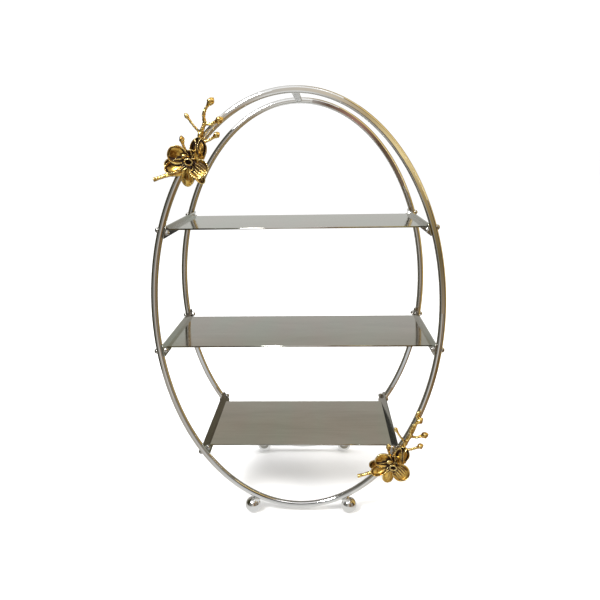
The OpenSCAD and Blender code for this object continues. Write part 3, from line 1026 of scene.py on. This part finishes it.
def build_sprays():
    flower, bloom = flower_mesh(), bloom_mesh()
    for which in ("upper", "lower"):
        place_casting(which + "_spray_flower_cast", flower, which, which + "_spray_flower")
        place_casting(which + "_spray_bloom_cast", bloom, which, which + "_spray_bloom")
        place_casting(which + "_spray_branch_cast", branch_mesh(which), which, which + "_spray_branch")


def build_spray_nut(which):
    """The cap nut behind the rod, on the spray's stud."""
    low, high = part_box(which + "_spray_nut")
    bm = bmesh.new()
    centre = Vector(((low.x + high.x) / 2, front.y, (low.z + high.z) / 2))
    place = Matrix.Translation(centre) @ Matrix.Rotation(math.radians(90), 4, "X")
    add_lathe(bm, nut_profile(-front.rod), place, steps=72, radius_at=hex_trim)
    piece = make_object(which + "_spray_nut_turned", bm)
    piece.data.set_sharp_from_angle(angle=NUT_CREASE)
    return finish_piece(piece, fixing_chrome, "nut_chrome", which + "_spray_nut")


# ---------------------------------------------------------------- build the stand

build_hoop("front_hoop_rod", front, "front_hoop")
build_hoop("back_hoop_rod", back, "back_hoop")
build_strap()
for level in LEVELS:
    build_shelf(level)
    build_screws(level)
    build_nuts(level)
    for side_name in SIDES:
        build_plate(level, side_name)
for row in hoops:
    for side_name in SIDES:
        build_foot(row, side_name)
build_sprays()
for which in ("upper", "lower"):
    build_spray_nut(which)
for node in ("foot_studs", "upper_spray_stud", "lower_spray_stud"):
    cad_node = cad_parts[node]
    cad_node.data.materials.clear()
    cad_node.data.materials.append(stud_steel)


# ---------------------------------------------------------------- stage, light and camera

def build_floor():
    bm = bmesh.new()
    bmesh.ops.create_grid(bm, x_segments=1, y_segments=1, size=40)
    floor = make_object("floor", bm, smooth=False)
    m = Nodes("pale_floor")
    m.feed("Base Color", m.ramp(m.noise(3, 2), (0.3, 0.93), (0.7, 0.95)))
    m.set(Roughness=0.75)
    floor.data.materials.append(m.material)


WORLD_STRENGTH = 1.08


def build_world():
    """An even, near-white studio."""
    world = bpy.data.worlds.new("studio")
    bpy.context.scene.world = world
    world.use_nodes = True
    background = world.node_tree.nodes["Background"]
    background.inputs["Color"].default_value = (1.0, 1.0, 1.0, 1)
    background.inputs["Strength"].default_value = WORLD_STRENGTH


def light_card(name, bm, stops, axis="X"):
    """A glowing card that only shows in polished metal. Its colours run along one axis of its UV layer."""
    card = make_object(name, bm, smooth=False)
    card.visible_camera = False
    card.visible_diffuse = False
    card.visible_shadow = False
    card.visible_transmission = False
    m = Nodes(name)
    m.tree.nodes.remove(m.shader)
    split = m.add("ShaderNodeSeparateXYZ")
    m.link(m.add("ShaderNodeUVMap", uv_map="run").outputs["UV"], split.inputs[0])
    glow = m.add("ShaderNodeEmission")
    m.link(m.ramp(split.outputs[axis], *stops), glow.inputs["Color"])
    m.link(glow.outputs[0], m.tree.nodes["Material Output"].inputs["Surface"])
    card.data.materials.append(m.material)


def build_card(name, start, across, up, stops, along_up=False):
    """A flat card whose colours run from start along one of its sides."""
    bm = bmesh.new()
    layer = bm.loops.layers.uv.new("run")
    start, across, up = Vector(start), Vector(across), Vector(up)
    corners = (start, start + across, start + across + up, start + up)
    face = bm.faces.new([bm.verts.new(corner) for corner in corners])
    for loop in face.loops:
        offset = loop.vert.co - start
        loop[layer].uv = (offset.dot(across) / across.length_squared, offset.dot(up) / up.length_squared)
    light_card(name, bm, stops, "Y" if along_up else "X")


ARC_GAP = 3 * MM
ARC_STEPS = 60


def build_arc_card(name, hoop, start, end, inner, outer, stops):
    """A curved strip just in front of a hoop. Angles are in degrees, and inner and outer in millimetres."""
    bm = bmesh.new()
    layer = bm.loops.layers.uv.new("run")
    gap = Vector((0, -hoop.rod - ARC_GAP, 0))
    rows = []
    for k in range(ARC_STEPS + 1):
        t = math.radians(start + (end - start) * k / ARC_STEPS)
        middle, out = hoop.point(t) + gap, hoop.normal(t)
        rows.append([bm.verts.new(middle + out * reach * MM) for reach in (inner, outer)])
    for k, (here, there) in enumerate(zip(rows, rows[1:])):
        face = bm.faces.new((here[0], here[1], there[1], there[0]))
        for loop in face.loops:
            loop[layer].uv = ((k if loop.vert in here else k + 1) / ARC_STEPS, 0.5)
    light_card(name, bm, stops)


def build_room_cards():
    """Glowing cards that paint a room's reflection in the chrome: dark olive on the left, gold and brown on
    the right, beige in front.
    """
    height = Vector((0, 0, 0.75))
    build_card("card_left", (-0.45, -0.75, 0), (0, 1.3, 0), height, (
        (0.30, (0.20, 0.195, 0.18)), (0.42, (0.035, 0.032, 0.016)), (0.62, (0.05, 0.046, 0.025)),
        (0.75, (0.20, 0.18, 0.14)), (0.95, (0.42, 0.40, 0.36))))
    build_card("card_right_low", (0.45, -0.75, 0), (0, 1.3, 0), (0, 0, 0.42), (
        (0.30, (0.28, 0.25, 0.21)), (0.42, (0.07, 0.040, 0.018)), (0.50, (0.09, 0.045, 0.018)),
        (0.56, (0.72, 0.50, 0.15)), (0.75, (0.42, 0.27, 0.09)), (0.95, (0.22, 0.14, 0.06))))
    build_card("card_right_high", (0.45, -0.75, 0.42), (0, 1.3, 0), (0, 0, 0.85), (
        (0.22, (0.20, 0.12, 0.06)), (0.36, (0.78, 0.56, 0.20)), (0.55, (0.95, 0.76, 0.36)),
        (0.66, (0.62, 0.42, 0.15)), (0.85, (0.34, 0.20, 0.08))))
    build_card("card_front", (-0.45, -0.75, 0), (0.9, 0, 0), height, (
        (0.05, (0.16, 0.155, 0.14)), (0.25, (0.48, 0.46, 0.42)), (0.50, (0.56, 0.53, 0.48)),
        (0.68, (0.34, 0.22, 0.13)), (0.95, (0.12, 0.075, 0.03))))
    build_card("card_back_left", (-0.45, 0.55, 0), (0.45, 0, 0), (0, 0, 0.20), (
        (0.36, (0.38, 0.36, 0.34)), (0.46, (0.05, 0.05, 0.045))), along_up=True)
    build_card("card_back_right", (0, 0.55, 0), (0.45, 0, 0), (0, 0, 0.20), (
        (0.30, (0.15, 0.14, 0.10)), (0.46, (0.10, 0.08, 0.06))), along_up=True)
    build_card("card_back", (-1.6, 1.5, 0), (3.2, 0, 0), (0, 0, 1.8), (
        (0.20, (0.58, 0.58, 0.56)), (0.28, (0.62, 0.62, 0.59)), (0.36, (0.54, 0.54, 0.51)),
        (0.44, (0.44, 0.41, 0.34)), (0.75, (0.60, 0.58, 0.54))), along_up=True)
    build_card("card_above", (-0.6, -0.15, 1.0), (1.05, 0, 0), (0, 0.75, 0), (
        (0.25, (0.78, 0.78, 0.77)), (0.55, (0.82, 0.81, 0.79)), (0.72, (0.42, 0.33, 0.20)),
        (0.95, (0.85, 0.70, 0.40))))
    build_card("card_floor", (-0.45, -0.75, 0.0004), (0.9, 0, 0), (0, 1.3, 0), (
        (0.05, (0.36, 0.34, 0.30)), (0.33, (0.50, 0.47, 0.43)), (0.44, (0.80, 0.80, 0.79)),
        (0.57, (0.78, 0.77, 0.74)), (0.67, (0.34, 0.24, 0.14)), (0.95, (0.16, 0.09, 0.03))))
    # A dull glowing card under the bottom shelf: painted shade, which the low faces of the rods mirror as the
    # shadow beneath the shelf.
    build_card("card_painted_shade_under", (-0.11, -0.02, 0.0008), (0.22, 0, 0), (0, 0.085, 0), (
        (0.0, (0.42, 0.41, 0.38)), (0.5, (0.20, 0.19, 0.16)), (1.0, (0.36, 0.32, 0.25))))


def build_arc_cards():
    """Glowing strips just in front of the rods, which paint the rods' reflections: gold and brown at the
    upper right, pale bands low down, and dark lines.
    """
    # Gold and brown bands: painted reflections on the upper right of the front rod.
    build_arc_card("card_front_arc_right", front, 98, 0, -5, 5, (
        (0.0, (0.62, 0.59, 0.54)), (0.22, (0.70, 0.62, 0.50)), (0.36, (0.52, 0.40, 0.22)),
        (0.53, (1.0, 0.80, 0.40)), (0.66, (0.42, 0.30, 0.13)), (0.84, (0.16, 0.12, 0.05)),
        (1.0, (0.34, 0.26, 0.18))))
    # A dark strip: painted shade, which the front rod's inner edge mirrors as a dark line at the upper right.
    build_arc_card("card_front_arc_inner", front, 72, 34, -9, -3.8, (
        (0.0, (0.30, 0.24, 0.18)), (0.3, (0.07, 0.05, 0.035)), (0.8, (0.05, 0.04, 0.03)),
        (1.0, (0.24, 0.18, 0.12))))
    # Dark brown: a painted reflection that darkens the back rod at its upper right.
    build_arc_card("card_back_arc_right", back, 84, 33, -10, 5, (
        (0.0, (0.40, 0.36, 0.33)), (0.14, (0.16, 0.10, 0.07)), (0.42, (0.40, 0.22, 0.17)),
        (0.66, (0.13, 0.08, 0.05)), (1.0, (0.20, 0.14, 0.10))))
    build_arc_card("card_front_arc_bottom", front, 205, 292, -3, 1.5, (
        (0.0, (0.50, 0.48, 0.45)), (0.40, (0.64, 0.64, 0.63)), (1.0, (0.60, 0.60, 0.59))))
    # A dark strip: painted shade, which the front rod mirrors as a dark line along its low inner edge.
    build_arc_card("card_front_arc_line", front, 228, 294, -7.5, -3, (
        (0.0, (0.40, 0.39, 0.36)), (0.15, (0.06, 0.06, 0.055)), (0.85, (0.05, 0.05, 0.045)),
        (1.0, (0.30, 0.29, 0.27))))
    build_arc_card("card_back_arc_low_left", back, 193, 219, -5, 5, (
        (0.0, (0.36, 0.36, 0.36)), (0.5, (0.64, 0.64, 0.64)), (1.0, (0.50, 0.50, 0.49))))
    build_arc_card("card_back_arc_low_right", back, 347, 321, -5, 5, (
        (0.0, (0.42, 0.42, 0.41)), (0.5, (0.62, 0.63, 0.63)), (1.0, (0.45, 0.44, 0.42))))


def add_area(name, at, aim, size, power, colour=(1, 1, 1)):
    data = bpy.data.lights.new(name, "AREA")
    data.shape = "RECTANGLE"
    data.size, data.size_y = size
    data.energy = power
    data.color = colour
    lamp = bpy.data.objects.new(name, data)
    lamp.location = at
    lamp.rotation_mode = "QUATERNION"
    lamp.rotation_quaternion = (Vector(aim) - Vector(at)).to_track_quat("-Z", "Y")
    bpy.context.scene.collection.objects.link(lamp)


def build_lights():
    aim = (0, 0, front.z)
    add_area("key", (-0.8, -1.0, 1.5), aim, (0.5, 0.5), 26)
    add_area("top", (0.2, 0.3, 2.0), aim, (1.4, 1.0), 16)
    add_area("fill", (1.2, -0.9, 0.8), aim, (0.4, 0.5), 10, (1.0, 0.95, 0.86))


# The camera, from the hoops' centre: metres to the right, in front and above, then its aim in degrees
CAMERA_OFFSET = Vector((0.02413, -0.66106, 0.16551))
CAMERA_YAW, CAMERA_PITCH, CAMERA_ROLL = -2.09, 14.24, -0.91
CAMERA_LENS = 36.14


def build_camera():
    data = bpy.data.cameras.new("camera")
    data.sensor_width = 36
    data.lens = CAMERA_LENS
    data.clip_start, data.clip_end = 0.01, 200
    camera = bpy.data.objects.new("camera", data)
    bpy.context.scene.collection.objects.link(camera)
    yaw, pitch, roll = (math.radians(v) for v in (CAMERA_YAW, CAMERA_PITCH, CAMERA_ROLL))
    ahead = Vector((math.sin(yaw) * math.cos(pitch), math.cos(yaw) * math.cos(pitch), -math.sin(pitch)))
    right = Vector((math.cos(yaw), -math.sin(yaw), 0))
    up = right.cross(ahead)
    x = math.cos(roll) * right + math.sin(roll) * up
    y = math.cos(roll) * up - math.sin(roll) * right
    camera.rotation_mode = "QUATERNION"
    camera.rotation_quaternion = Matrix((x, y, -ahead)).transposed().to_quaternion()
    camera.location = Vector((0, mid_y, front.z)) + CAMERA_OFFSET
    bpy.context.scene.camera = camera


build_floor()
build_world()
build_room_cards()
build_arc_cards()
build_lights()
build_camera()
bpy.context.scene.view_settings.view_transform = "Standard"
